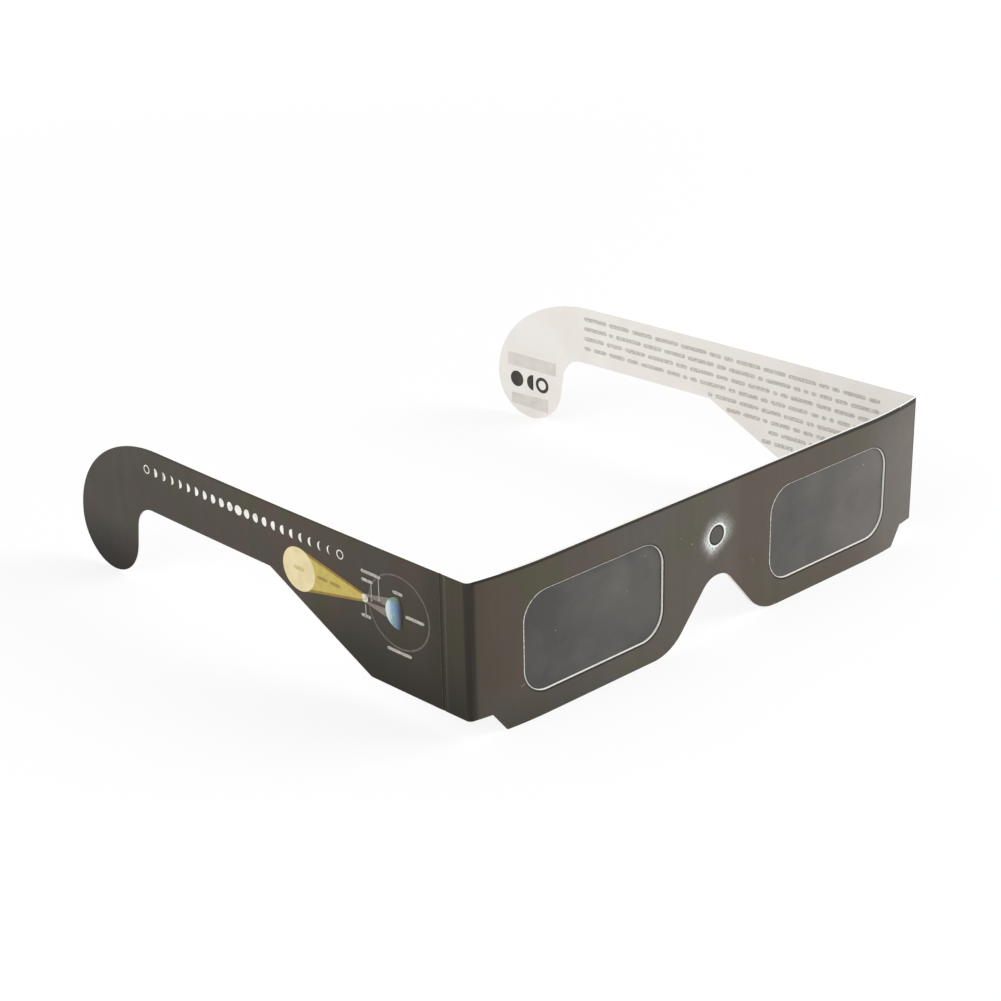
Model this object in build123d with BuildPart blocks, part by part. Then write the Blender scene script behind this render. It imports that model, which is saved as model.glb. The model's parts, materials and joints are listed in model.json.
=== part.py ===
from build123d import *
from math import asin, atan, cos, degrees, radians, sin, tan
import os

# Card and film, in millimetres
card_thickness = 0.4
film_thickness = 0.1

# Front of the glasses
front_width = 140.0
front_height = 35.0
curl_run = 20.0
curl_radius = 98.0
back_end_margin = 8.0
back_edge_step = 0.25

# Lower corners of the front, where the card steps up to the creases
corner_height = 4.5
corner_run = 5.4
corner_slant_run = 3.4
foot_round = 0.8

# Eye windows, set by the card left around them
bridge_width = 34.2
window_side_margin = 13.4
window_top_margin = 6.9
window_base = 5.7
window_corner = 6.0
back_window_growth = 0.4

# Nose arch
arch_height = 13.9
arch_side_web = 2.8
arch_crown_half_width = 2.6
arch_lobe_radius = 11.0
crown_round_share = 0.96

# Filter films and the glue around them
film_margin = 2.6
film_corner = 2.0
film_pocket_clearance = 0.3
glue_inset = 0.5

# Corner creases, round in plan, whose centres are the hinge axes
crease_inner_radius = 0.8

# Temples, measured along the card from the hinge axis
temple_length = 129.0
temple_low_edge = 19.8
wedge_start = 27.6
wedge_end = 58.7
wedge_round = 1.5
hook_radius = 11.0
hook_crown_length = 32.0
hook_lean_angle = 8.0
hook_throat_radius = 6.0
left_splay_angle = 2.3
right_splay_angle = -5.6
left_temple_bow = 0.7
right_temple_bow = 0.6

# Second score line of each temple, pressed into the printed face
score_place = 6.2
score_width = 0.9
score_depth = 0.12

# One overrun serves every cut and intersection
overrun = 3.0

# Sizes that follow from the ones above
half_width = front_width / 2
flat_half_width = half_width - curl_run
back_half_width = half_width - back_end_margin
corner_step_half_width = half_width - corner_run
foot_half_width = corner_step_half_width - corner_slant_run
window_width = half_width - window_side_margin - bridge_width / 2
window_height = front_height - window_top_margin - window_base
window_spacing = bridge_width + window_width
arch_base_half_width = bridge_width / 2 - arch_side_web
stack_thickness = 2 * card_thickness + film_thickness
fold_outer_radius = stack_thickness / 2
fold_inner_radius = film_thickness / 2
panel_top = front_height - fold_outer_radius
crease_outer_radius = crease_inner_radius + card_thickness
hinge_half_width = half_width - crease_outer_radius
hinge_reach = hinge_half_width - flat_half_width
hinge_radius = curl_radius - crease_outer_radius
end_curl = degrees(asin(hinge_reach / hinge_radius))
back_curl = degrees(asin((back_half_width - flat_half_width) / curl_radius))
hinge_depth = curl_radius - hinge_radius * cos(radians(end_curl))
splays = {-1: left_splay_angle, 1: right_splay_angle}
bows = {-1: left_temple_bow, 1: right_temple_bow}


# The row's origin is under the middle of the whole, so the front stands off it
def side_reach(side):
    splay = radians(splays[side])
    tip = hinge_half_width + crease_outer_radius * cos(splay) + temple_length * sin(splay)
    return max(half_width, tip)


def back_reach(side):
    splay = radians(splays[side])
    lip = crease_inner_radius if splay > 0 else crease_outer_radius
    return hinge_depth + temple_length * cos(splay) - lip * sin(splay)


front_x = (side_reach(-1) - side_reach(1)) / 2
front_y = -max(back_reach(-1), back_reach(1)) / 2
hinges = {side: (front_x + side * hinge_half_width, front_y + hinge_depth) for side in (-1, 1)}

plan_plane = Plane((front_x, front_y, 0))
face_plane = Plane((front_x, front_y, 0), x_dir=(1, 0, 0), z_dir=(0, -1, 0))


# A point of the front in plan, on the curled end, at a depth behind the printed face
def curl_point(side, depth, turn):
    radius = curl_radius - depth
    along = side * (flat_half_width + radius * sin(radians(turn)))
    return (along, curl_radius - radius * cos(radians(turn)))


# Plan of one layer of the front: flat in the middle, curled back at both ends
def layer_plan(depth, thickness, turn):
    with BuildSketch() as plan:
        with BuildLine():
            for level in (depth, depth + thickness):
                Line((-flat_half_width, level), (flat_half_width, level))
                for side in (-1, 1):
                    centre = (side * flat_half_width, curl_radius)
                    CenterArc(centre, curl_radius - level, 270, side * turn)
            for side in (-1, 1):
                Line(curl_point(side, depth, turn), curl_point(side, depth + thickness, turn))
        make_face()
    return plan.sketch


# The arch over the nose, cut out of every layer of the front
def nose_arch():
    flank = atan(arch_height / (arch_base_half_width - arch_crown_half_width))
    crown_radius = crown_round_share * arch_crown_half_width / tan(flank / 2)
    base = arch_base_half_width + arch_lobe_radius * tan(flank / 2) + overrun
    with BuildSketch() as arch:
        with BuildLine():
            Polyline(
                (-base, 0),
                (-arch_base_half_width, 0),
                (-arch_crown_half_width, arch_height),
                (arch_crown_half_width, arch_height),
                (arch_base_half_width, 0),
                (base, 0),
                (base, -overrun),
                (-base, -overrun),
                close=True,
            )
        make_face()
        fillet(arch.vertices().group_by(Axis.Y)[-1], crown_radius)
        for side in (-1, 1):
            foot = (side * arch_base_half_width, 0, 0)
            fillet(arch.vertices().sort_by_distance(foot)[0], arch_lobe_radius)
    return arch.sketch


# Both eye windows, larger all round by a growth
def windows(growth):
    with BuildSketch() as pair:
        with GridLocations(window_spacing, 0, 2, 1):
            with Locations((0, window_base + window_height / 2)):
                width = window_width + 2 * growth
                height = window_height + 2 * growth
                RectangleRounded(width, height, window_corner + growth)
    return pair.sketch


# Outline of the printed front, seen from ahead: full height only past the folded-over panel
def front_outline():
    with BuildSketch() as outline:
        with BuildLine():
            Polyline(
                (-half_width, corner_height),
                (-corner_step_half_width, corner_height),
                (-foot_half_width, 0),
                (foot_half_width, 0),
                (corner_step_half_width, corner_height),
                (half_width, corner_height),
                (half_width, front_height),
                (back_half_width, front_height),
                (back_half_width, panel_top),
                (-back_half_width, panel_top),
                (-back_half_width, front_height),
                (-half_width, front_height),
                close=True,
            )
        make_face()
        fillet(outline.vertices().group_by(Axis.Y)[0], foot_round)
        add(nose_arch(), mode=Mode.SUBTRACT)
        add(windows(0), mode=Mode.SUBTRACT)
    return outline.sketch


# Outline of what lies behind the printed front: the folded-over panel and its glue
def back_outline(inset, growth):
    half = back_half_width - inset
    with BuildSketch() as outline:
        with BuildLine():
            Polyline(
                (-half, corner_height),
                (-foot_half_width + inset, back_edge_step + inset),
                (foot_half_width - inset, back_edge_step + inset),
                (half, corner_height),
                (half, panel_top),
                (-half, panel_top),
                close=True,
            )
        make_face()
        fillet(outline.vertices().group_by(Axis.Y)[0], foot_round)
        with BuildSketch(mode=Mode.PRIVATE) as arch:
            add(nose_arch())
            if inset:
                offset(amount=inset)
        add(arch.sketch, mode=Mode.SUBTRACT)
        add(windows(growth), mode=Mode.SUBTRACT)
    return outline.sketch


# Film squares, one behind each window, larger all round by a growth
def film_squares(sides, growth):
    width = window_width + 2 * (film_margin + growth)
    height = window_height + 2 * (film_margin + growth)
    with BuildSketch() as squares:
        for side in sides:
            with Locations((side * window_spacing / 2, window_base + window_height / 2)):
                RectangleRounded(width, height, film_corner + growth)
    return squares.sketch


# The printed front panel
with BuildPart() as front_panel:
    with BuildSketch(plan_plane):
        add(layer_plan(0, card_thickness, end_curl))
    extrude(amount=front_height)
    with BuildSketch(face_plane):
        add(front_outline())
    extrude(amount=front_width, both=True, mode=Mode.INTERSECT)

# The panel folded over behind it
with BuildPart() as back_panel:
    with BuildSketch(plan_plane):
        add(layer_plan(card_thickness + film_thickness, card_thickness, back_curl))
    extrude(amount=front_height)
    with BuildSketch(face_plane):
        add(back_outline(0, back_window_growth))
    extrude(amount=front_width, both=True, mode=Mode.INTERSECT)

# The glue that holds the two panels together, open around each film
with BuildPart() as panel_glue:
    with BuildSketch(plan_plane):
        add(layer_plan(card_thickness, film_thickness, back_curl))
    extrude(amount=front_height)
    with BuildSketch(face_plane):
        add(back_outline(glue_inset, back_window_growth))
        add(film_squares((-1, 1), film_pocket_clearance), mode=Mode.SUBTRACT)
    extrude(amount=front_width, both=True, mode=Mode.INTERSECT)


# One filter film
def filter_film(side):
    with BuildPart() as film:
        with BuildSketch(plan_plane):
            add(layer_plan(card_thickness, film_thickness, back_curl))
        extrude(amount=front_height)
        with BuildSketch(face_plane):
            add(film_squares((side,), 0))
        extrude(amount=front_width, both=True, mode=Mode.INTERSECT)
    return film


left_filter = filter_film(-1)
right_filter = filter_film(1)

# The rounded fold along the top edge that joins the two panels
with BuildPart() as top_fold:
    middle = stack_thickness / 2
    with BuildLine(Plane((front_x, front_y, panel_top))) as crest:
        run = Line((-flat_half_width, middle), (flat_half_width, middle))
        for side in (-1, 1):
            centre = (side * flat_half_width, curl_radius)
            CenterArc(centre, curl_radius - middle, 270, side * back_curl)
    start = (front_x - flat_half_width, front_y + middle, panel_top)
    with BuildSketch(Plane(start, x_dir=(0, 1, 0), z_dir=(1, 0, 0))):
        Circle(fold_outer_radius)
        Circle(fold_inner_radius, mode=Mode.SUBTRACT)
        with Locations((0, -fold_outer_radius)):
            Rectangle(2 * fold_outer_radius, 2 * fold_outer_radius, mode=Mode.SUBTRACT)
    sweep(path=crest.wires()[0])


# Corner crease: the card's round bend from the front into a temple
def corner_crease(side):
    front_turn = end_curl - 90
    temple_turn = -splays[side]
    if side < 0:
        front_turn = 180 - front_turn
        temple_turn = 180 - temple_turn
    sweep_turn = temple_turn - front_turn
    with BuildPart() as crease:
        with BuildSketch(Plane((*hinges[side], corner_height))):
            with BuildLine():
                inner = CenterArc((0, 0), crease_inner_radius, front_turn, sweep_turn)
                outer = CenterArc((0, 0), crease_outer_radius, front_turn, sweep_turn)
                Line(inner @ 0, outer @ 0)
                Line(inner @ 1, outer @ 1)
            make_face()
        extrude(amount=front_height - corner_height)
    return crease


# Outline of a temple along the card: deep at the crease, slim over the ear, hooked behind it
def temple_outline():
    crown_start = temple_length - hook_crown_length
    hook_centre = (temple_length - hook_radius, hook_radius)
    with BuildSketch() as outline:
        with BuildLine():
            Line((0, front_height), (crown_start, front_height))
            crown_centre = (crown_start, hook_radius)
            EllipticalCenterArc(crown_centre, hook_crown_length, front_height - hook_radius, arc_size=90)
            tip = CenterArc(hook_centre, hook_radius, 0, hook_lean_angle - 180)
            rise = temple_low_edge - (tip @ 1).Y
            throat = ((tip @ 1).X - rise * tan(radians(hook_lean_angle)), temple_low_edge)
            Polyline(
                tip @ 1,
                throat,
                (wedge_end, temple_low_edge),
                (wedge_start, corner_height),
                (0, corner_height),
                (0, front_height),
            )
        make_face()
        fillet(outline.vertices().sort_by_distance((*throat, 0))[0], hook_throat_radius)
        for corner in ((wedge_end, temple_low_edge, 0), (wedge_start, corner_height, 0)):
            fillet(outline.vertices().sort_by_distance(corner)[0], wedge_round)
    return outline.sketch


# How far a temple's bow carries the card outwards at a place along it
def bow_height(side, place):
    share = place / temple_length
    return 4 * bows[side] * share * (1 - share)


# A temple: one layer of card, gently bowed, with its second score line
def temple(side):
    splay = radians(splays[side])
    heading = Vector(side * sin(splay), cos(splay), 0)
    origin = (*hinges[side], 0)
    card_plane = Plane(origin, x_dir=heading, z_dir=heading.cross(Vector(0, 0, 1)))
    edge_plane = Plane(origin, x_dir=heading, z_dir=(0, 0, -side))
    middle = temple_length / 2
    with BuildPart() as arm:
        with BuildSketch(edge_plane):
            with BuildLine():
                for face in (crease_inner_radius, crease_outer_radius):
                    ThreePointArc((0, face), (middle, face + bows[side]), (temple_length, face))
                for end in (0, temple_length):
                    Line((end, crease_inner_radius), (end, crease_outer_radius))
            make_face()
        extrude(amount=-side * front_height)
        with BuildSketch(card_plane):
            add(temple_outline())
        extrude(amount=temple_length, both=True, mode=Mode.INTERSECT)
        with BuildSketch(edge_plane):
            surface = crease_outer_radius + bow_height(side, score_place)
            with BuildLine():
                Polyline(
                    (score_place - score_width / 2, surface),
                    (score_place, surface - score_depth),
                    (score_place + score_width / 2, surface),
                    (score_place + score_width / 2, surface + score_depth),
                    (score_place - score_width / 2, surface + score_depth),
                    close=True,
                )
            make_face()
        extrude(amount=-side * front_height, mode=Mode.SUBTRACT)
    return arm


left_corner_crease = corner_crease(-1)
right_corner_crease = corner_crease(1)
left_temple = temple(-1)
right_temple = temple(1)

pieces = {
    "front_panel": front_panel,
    "back_panel": back_panel,
    "top_fold": top_fold,
    "panel_glue": panel_glue,
    "left_filter": left_filter,
    "right_filter": right_filter,
    "left_corner_crease": left_corner_crease,
    "right_corner_crease": right_corner_crease,
    "left_temple": left_temple,
    "right_temple": right_temple,
}
os.makedirs("parts", exist_ok=True)
for name, piece in pieces.items():
    piece.part.label = name
    export_step(piece.part, f"parts/{name}.step")

# Places that other work needs, in millimetres and degrees in the part's own frame
print("front face middle", front_x, front_y)
for side, name in ((-1, "left"), (1, "right")):
    print(name, "hinge axis", hinges[side], "opens by", 90 - end_curl - splays[side])
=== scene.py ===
import json
import math
import random

import bpy
import bmesh
from mathutils import Matrix, Vector


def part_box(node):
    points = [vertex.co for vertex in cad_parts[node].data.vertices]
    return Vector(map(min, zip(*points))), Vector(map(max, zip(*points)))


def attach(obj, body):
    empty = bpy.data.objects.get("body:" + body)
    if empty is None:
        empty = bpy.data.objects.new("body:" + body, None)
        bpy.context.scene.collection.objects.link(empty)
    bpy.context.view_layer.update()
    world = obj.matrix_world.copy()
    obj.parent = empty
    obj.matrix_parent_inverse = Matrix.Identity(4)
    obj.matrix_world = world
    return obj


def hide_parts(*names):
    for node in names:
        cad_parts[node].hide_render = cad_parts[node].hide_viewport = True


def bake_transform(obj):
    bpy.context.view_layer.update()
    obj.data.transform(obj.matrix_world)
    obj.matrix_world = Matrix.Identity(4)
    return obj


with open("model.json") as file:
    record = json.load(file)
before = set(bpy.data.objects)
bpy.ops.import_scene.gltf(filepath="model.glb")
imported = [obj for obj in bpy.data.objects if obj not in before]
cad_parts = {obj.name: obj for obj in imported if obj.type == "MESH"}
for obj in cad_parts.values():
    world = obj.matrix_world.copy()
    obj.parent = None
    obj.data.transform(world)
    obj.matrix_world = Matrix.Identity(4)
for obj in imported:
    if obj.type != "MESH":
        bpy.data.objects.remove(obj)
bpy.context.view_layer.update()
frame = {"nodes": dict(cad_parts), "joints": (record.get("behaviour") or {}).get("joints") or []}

MM = 0.001
X, Y, Z = Vector((1, 0, 0)), Vector((0, 1, 0)), Vector((0, 0, 1))

# Sizes of the card blank, in millimetres
FRONT_HEIGHT = 35.0
HALF_WIDTH = 70.0
FLAT_HALF, CURL_RADIUS = 50.0, 98.0
CREASE_INNER, CREASE_OUTER, CREASE_BASE = 0.8, 1.2, 4.5
CREASE_LENGTH = 0.3
WINDOW_X, WINDOW_Z = 36.85, 16.9
WINDOW_HALF_WIDTH, WINDOW_HALF_HEIGHT, WINDOW_CORNER = 19.75, 11.2, 6.0
SCORE_PLACE = 6.2

# The two sides: -1 at -X and 1 at +X. The splays are in degrees
SIDES = (-1, 1)
SPLAYS = {-1: 2.3, 1: -5.6}
ARMS = {-1: "left_arm", 1: "right_arm"}
TEMPLES = {-1: "left_temple", 1: "right_temple"}
SIDE_NAMES = {-1: "left", 1: "right"}

# The camera: angles in degrees, lengths in millimetres
FOCAL_PIXELS, PICTURE_PIXELS, SENSOR_WIDTH = 2228.07, 1001, 36
AZIMUTH, ELEVATION, ROLL = -42.1065, 23.8501, -1.2371
SHIFT_RIGHT, SHIFT_UP, DISTANCE = 46.893, -28.607, 484.416

nodes = frame["nodes"]
hinge_joints = {(-1 if j["name"].startswith("left") else 1): j for j in frame["joints"]}
hinges = {side: Vector(j["pos_m"]).xy / MM for side, j in hinge_joints.items()}
front_x = (hinges[-1].x + hinges[1].x) / 2
front_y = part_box("front_panel")[0].y / MM


def heading(side):
    """The way that a temple runs, from its hinge to its hook."""
    splay = math.radians(SPLAYS[side])
    return Vector((side * math.sin(splay), math.cos(splay), 0))


def outward(side):
    """The way that a temple's printed side faces."""
    splay = math.radians(SPLAYS[side])
    return Vector((side * math.cos(splay), -math.sin(splay), 0))


def hinge_point(side, z=0):
    return Vector((hinges[side].x, hinges[side].y, z))


def place_camera():
    azimuth, elevation, roll = (math.radians(angle) for angle in (AZIMUTH, ELEVATION, ROLL))
    back = Vector((
        math.sin(azimuth) * math.cos(elevation),
        -math.cos(azimuth) * math.cos(elevation),
        math.sin(elevation),
    ))
    right = Vector((math.cos(azimuth), math.sin(azimuth), 0))
    up = back.cross(right)
    c, s = math.cos(roll), math.sin(roll)
    right, up = c * right + s * up, c * up - s * right
    place = Vector((front_x, front_y, 0)) - SHIFT_RIGHT * right - SHIFT_UP * up + DISTANCE * back
    data = bpy.data.cameras.new("camera")
    data.sensor_width = SENSOR_WIDTH
    data.lens = FOCAL_PIXELS / PICTURE_PIXELS * data.sensor_width
    data.clip_start, data.clip_end = 0.01, 20
    camera = bpy.data.objects.new("camera", data)
    bpy.context.scene.collection.objects.link(camera)
    turn = Matrix((right, up, back)).transposed().to_4x4()
    camera.matrix_world = Matrix.Translation(place * MM) @ turn
    bpy.context.scene.camera = camera


place_camera()


# Materials
class Look:
    """One material's node tree, built from short calls. Its places are in millimetres."""

    def __init__(self, name):
        self.material = bpy.data.materials.new(name)
        self.material.use_nodes = True
        self.tree = self.material.node_tree
        self.tree.nodes.clear()
        source = self.put("TexCoord")
        self.normal = source.outputs["Normal"]
        self.place = self.scaled(source.outputs["Object"], (1 / MM,) * 3)

    def feed(self, socket, value):
        if isinstance(value, bpy.types.NodeSocket):
            self.tree.links.new(value, socket)
        elif value is not None:
            socket.default_value = value

    def put(self, kind, inputs=None, **settings):
        node = self.tree.nodes.new("ShaderNode" + kind)
        for key, value in settings.items():
            setattr(node, key, value)
        for key, value in (inputs or {}).items():
            self.feed(node.inputs[key], value)
        return node

    def math(self, operation, a, b=None, clamp=False):
        return self.put("Math", {0: a, 1: b}, operation=operation, use_clamp=clamp).outputs[0]

    def add(self, a, b):
        return self.math("ADD", a, b)

    def take(self, a, b):
        return self.math("SUBTRACT", a, b)

    def times(self, a, b):
        return self.math("MULTIPLY", a, b)

    def over(self, a, b):
        return self.math("DIVIDE", a, b)

    def most(self, a, b):
        return self.math("MAXIMUM", a, b)

    def least(self, a, b):
        return self.math("MINIMUM", a, b)

    def plain(self, a):
        """The value without its sign."""
        return self.math("ABSOLUTE", a)

    def size(self, a, b):
        """How long the step (a, b) is."""
        return self.math("SQRT", self.add(self.times(a, a), self.times(b, b)))

    def vector(self, x=0.0, y=0.0, z=0.0):
        return self.put("CombineXYZ", {0: x, 1: y, 2: z}).outputs[0]

    def scaled(self, vector, factors):
        return self.put("VectorMath", {0: vector, 1: factors}, operation="MULTIPLY").outputs[0]

    def moved(self, vector, step):
        return self.put("VectorMath", {0: vector, 1: step}, operation="ADD").outputs[0]

    def dot(self, a, b):
        return self.put("VectorMath", {0: a, 1: tuple(b)}, operation="DOT_PRODUCT").outputs["Value"]

    def span(self, value, low, high, start=0.0, end=1.0, kind="SMOOTHSTEP"):
        """From start to end as the value goes from low to high."""
        node = self.put("MapRange", {0: value, 1: low, 2: high, 3: start, 4: end})
        node.interpolation_type = kind
        return node.outputs[0]

    def ramp(self, value, low, high, start=0.0, end=1.0):
        return self.span(value, low, high, start, end, "LINEAR")

    def band(self, value, low, high, soft):
        """1 between low and high, 0 outside, over a soft edge."""
        rise = self.span(value, low - soft, low)
        return self.take(rise, self.span(value, high, high + soft))

    def by_side(self, flat, left, right):
        """The left value at -X of the middle, and the right one a millimetre past it at +X."""
        return self.ramp(flat, 0.0, 1.0, left, right)

    def noise(self, vector, size, detail=2.0, rough=0.5, warp=0.0):
        inputs = {
            "Vector": vector, "Scale": 1 / size, "Detail": detail, "Roughness": rough, "Distortion": warp,
        }
        return self.put("TexNoise", inputs).outputs[0]

    def tint(self, share, a, b):
        node = self.put("Mix", data_type="RGBA")
        for index, value in ((0, share), (6, a), (7, b)):
            self.feed(node.inputs[index], value)
        return node.outputs[2]

    def finish(self, colour, roughness, height=None, bump=0.6, **sockets):
        inputs = {"Base Color": colour, "Roughness": roughness}
        if height is not None:
            relief = {"Height": height, "Distance": MM, "Strength": bump}
            inputs["Normal"] = self.put("Bump", relief).outputs[0]
        for key, value in sockets.items():
            inputs[key.replace("_", " ")] = value
        surface = self.put("BsdfPrincipled", inputs)
        self.put("OutputMaterial", {"Surface": surface.outputs[0]})
        return self.material


def rgb(r, g, b):
    """A colour written in the 0 to 255 values that it renders as, made linear."""
    def linear(v):
        v /= 255
        return v / 12.92 if v <= 0.04045 else ((v + 0.055) / 1.055) ** 2.4
    return (linear(r), linear(g), linear(b), 1.0)


PRINT_WARM = rgb(73, 65, 56)
PRINT_OLIVE = rgb(69, 66, 48)
PRINT_RUST = rgb(80, 63, 57)
PRINT_SLATE = rgb(68, 66, 64)
# The paler print tint, laid on mostly as painted sheen
PRINT_PALE = rgb(112, 106, 100)
PRINT_BROWN = rgb(77, 66, 51)
# The darkest print tint, laid on also as painted shade and painted shadow
PRINT_DARK = rgb(24, 21, 15)
# Dust specks, and the score line's light lip, part painted highlight
DUST_AND_HIGHLIGHT = rgb(168, 162, 150)
CARD_WHITE = rgb(231, 227, 222)
CARD_SHADE = rgb(227, 222, 215)
CARD_FIBRE = rgb(190, 184, 172)
CORE_WHITE = rgb(245, 242, 237)
DISC_GREY = rgb(80, 80, 76)
CORONA_WHITE = rgb(243, 248, 243)
RIM_WHITE = rgb(240, 236, 229)
RIM_SHADOW = rgb(10, 9, 7)
WORN_BROWN = rgb(178, 166, 138)
CRACK_PALE = rgb(150, 142, 130)
FILM_DARK = rgb(53, 50, 47)
FILM_PALE = rgb(96, 92, 88)
FILM_STREAK = rgb(130, 128, 125)
FILM_SPECK = rgb(170, 168, 164)
FRONT_GLOSS, TEMPLE_GLOSS = 0.22, 0.11
CARD_ROUGHNESS = 0.85


def white_card(look, coords):
    """Colour and height of the bare card: faint clouds and fibres."""
    clouds = look.noise(coords, size=14.0, detail=3.0, rough=0.6)
    fibre = look.noise(coords, size=0.35, detail=3.0, rough=0.7)
    colour = look.tint(look.span(clouds, 0.35, 0.7), CARD_WHITE, CARD_SHADE)
    colour = look.tint(look.span(fibre, 0.62, 0.8, end=0.10), colour, CARD_FIBRE)
    return colour, look.times(fibre, 0.010)


def dark_print(look, coords, dark=0.0, pale=0.0, grey=0.0, brown=0.0):
    """Colour of the dark print: soft clouds of four close tints, faint upright streaks, grain and dust.
    The callers' dark and pale shares are mostly painted shade and painted sheen.
    """
    tall = look.scaled(coords, (1.0, 1.0, 0.5))
    shifted = look.moved(tall, (31.0, 17.0, 53.0))
    olive = look.span(look.noise(tall, size=10.0, detail=2.0, rough=0.5, warp=0.6), 0.46, 0.60)
    rust = look.span(look.noise(shifted, size=8.0, detail=2.0, rough=0.5, warp=0.8), 0.50, 0.64, end=0.5)
    slate = look.span(look.noise(shifted, size=15.0, detail=1.0, rough=0.5), 0.50, 0.64, end=0.5)
    upright = look.noise(look.scaled(coords, (1.0, 1.0, 0.04)), size=1.9, detail=3.0, rough=0.6)
    grain = look.noise(coords, size=0.22, detail=2.0, rough=0.7)
    specks = look.noise(look.moved(coords, (7.0, 11.0, 23.0)), size=0.55, detail=1.0, rough=0.5)
    colour = PRINT_WARM
    for share, tint in (
        (olive, PRINT_OLIVE),
        (rust, PRINT_RUST),
        (slate, PRINT_SLATE),
        (pale, PRINT_PALE),
        (grey, PRINT_SLATE),
        (brown, PRINT_BROWN),
        (look.span(upright, 0.35, 0.65, start=0.05, end=0.0), PRINT_DARK),
        (look.span(grain, 0.3, 0.7, start=0.08, end=0.0), PRINT_DARK),
        (dark, PRINT_DARK),
        (look.span(specks, 0.80, 0.85, end=0.35), DUST_AND_HIGHLIGHT),
    ):
        colour = look.tint(share, colour, tint)
    return colour


def printed_look(name, origin, along, out, start, shades, marks, gloss, score=None):
    """Card printed dark on its outer side, white inside, with a white core at its cut edges.
    Its coordinates run along the flat blank, so that the print goes on round the creases and
    down into a score line."""
    look = Look(name)
    flat = look.add(look.dot(look.place, along), start - origin.dot(along))
    height = look.dot(look.place, Z)
    coords = look.vector(flat, 0.0, height)
    facing = look.dot(look.normal, out)
    printed = look.span(facing, 0.55, 0.75)
    inside = look.span(facing, -0.55, -0.75)
    if score is not None:
        upright = look.span(look.plain(look.dot(look.normal, Z)), 0.7, 0.5)
        groove = look.band(look.plain(flat), score - 0.7, score + 0.7, 0.05)
        outer = look.span(facing, -0.5, -0.3)
        printed = look.most(printed, look.times(look.times(upright, groove), outer))
    wear = look.noise(coords, size=0.7, detail=3.0, rough=0.65)
    ink = marks(look, dark_print(look, coords, *shades(look, flat, height)), flat, height, wear)
    white, fibres = white_card(look, coords)
    colour = look.tint(printed, look.tint(inside, CORE_WHITE, white), ink)
    bare = look.take(1.0, printed)
    satin = look.span(look.noise(coords, size=6.0, detail=2.0, rough=0.5), 0.3, 0.7, start=0.38, end=0.48)
    roughness = look.add(look.times(printed, satin), look.times(bare, CARD_ROUGHNESS))
    relief = look.times(look.noise(coords, size=0.9, detail=3.0, rough=0.6), 0.006)
    bumps = look.add(look.times(printed, relief), look.times(bare, fibres))
    return look.finish(colour, roughness, bumps, Specular_IOR_Level=gloss)


def window_gap(look, flat, height, right=0.0, up=0.0):
    """How far a place lies outside the nearest window's outline, with the outline moved right and up."""
    across = look.plain(look.take(look.plain(look.take(flat, right)), WINDOW_X))
    rise = look.plain(look.take(height, WINDOW_Z + up))
    px = look.take(across, WINDOW_HALF_WIDTH - WINDOW_CORNER)
    pz = look.take(rise, WINDOW_HALF_HEIGHT - WINDOW_CORNER)
    outer = look.size(look.most(px, 0.0), look.most(pz, 0.0))
    inner = look.least(look.most(px, pz), 0.0)
    return look.take(look.add(outer, inner), WINDOW_CORNER)


def spot(look, flat, height, at, radius):
    """1 inside a small round mark."""
    away = look.size(look.take(flat, at[0]), look.take(height, at[1]))
    return look.span(away, radius * 1.35, radius * 0.65)


def scratch(look, flat, height, a, b, width):
    """1 along a short line from a to b."""
    step = Vector(b) - Vector(a)
    x, z = look.take(flat, a[0]), look.take(height, a[1])
    unit = step / step.length_squared
    share = look.add(look.times(x, unit.x), look.times(z, unit.y))
    share = look.least(look.most(share, 0.0), 1.0)
    away = look.size(look.take(x, look.times(share, step.x)), look.take(z, look.times(share, step.y)))
    return look.span(away, width * 0.75, width * 0.25)


# The dark disc between the windows, and how far its ring, its brighter side and its halo reach
DISC_X, DISC_Z, DISC_RADIUS = -0.5, 23.4, 2.35
RING_REACH, BRIGHT_REACH, HALO_REACH = 1.25, 2.6, 4.3
LOBE_WAY, BRIGHT_WAY = (0.85, 0.0, 0.53), (-0.8, 0.0, -0.6)


def eclipsed_sun(look, colour, flat, height, wear):
    """A grey disc with a dark edge, a ring of light round it, and a longer halo along one line."""
    dx, dz = look.take(flat, DISC_X), look.take(height, DISC_Z)
    radius = look.size(dx, dz)
    turn = look.vector(look.over(dx, radius), 0.0, look.over(dz, radius))
    rays = look.span(look.noise(turn, size=0.6, detail=2.0, rough=0.5), 0.3, 0.7, start=0.85, end=1.12)
    lobes = look.span(look.plain(look.dot(turn, LOBE_WAY)), 0.2, 1.0, start=0.78, end=1.0)
    reach = look.over(look.take(radius, DISC_RADIUS), look.times(rays, lobes))
    ring = look.times(look.span(reach, RING_REACH, 0.1), look.span(wear, 0.3, 0.65, start=0.85, end=1.0))
    halo = look.times(look.math("POWER", look.ramp(reach, HALO_REACH, 0.2), 2.2), 0.52)
    bright = look.span(look.dot(turn, BRIGHT_WAY), 0.45, 0.95)
    bright = look.times(bright, look.span(reach, BRIGHT_REACH, 0.5, end=0.45))
    bright = look.times(bright, look.span(wear, 0.25, 0.7, start=0.6, end=1.0))
    crackle = look.noise(look.vector(flat, 0.0, height), size=0.5, detail=3.0, rough=0.75)
    rough = look.times(look.span(crackle, 0.56, 0.42, end=0.6), look.span(reach, 0.15, 0.5))
    glow = look.times(look.most(ring, look.add(halo, bright)), look.take(1.0, rough))
    glow = look.times(glow, look.span(radius, DISC_RADIUS - 0.12, DISC_RADIUS + 0.12))
    disc_share = look.span(radius, DISC_RADIUS + 0.1, DISC_RADIUS - 0.1, end=0.75)
    edge = look.times(look.band(radius, DISC_RADIUS - 0.38, DISC_RADIUS - 0.12, 0.12), 0.9)
    for share, tint in ((disc_share, DISC_GREY), (edge, PRINT_DARK), (glow, CORONA_WHITE)):
        colour = look.tint(share, colour, tint)
    return colour


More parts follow.
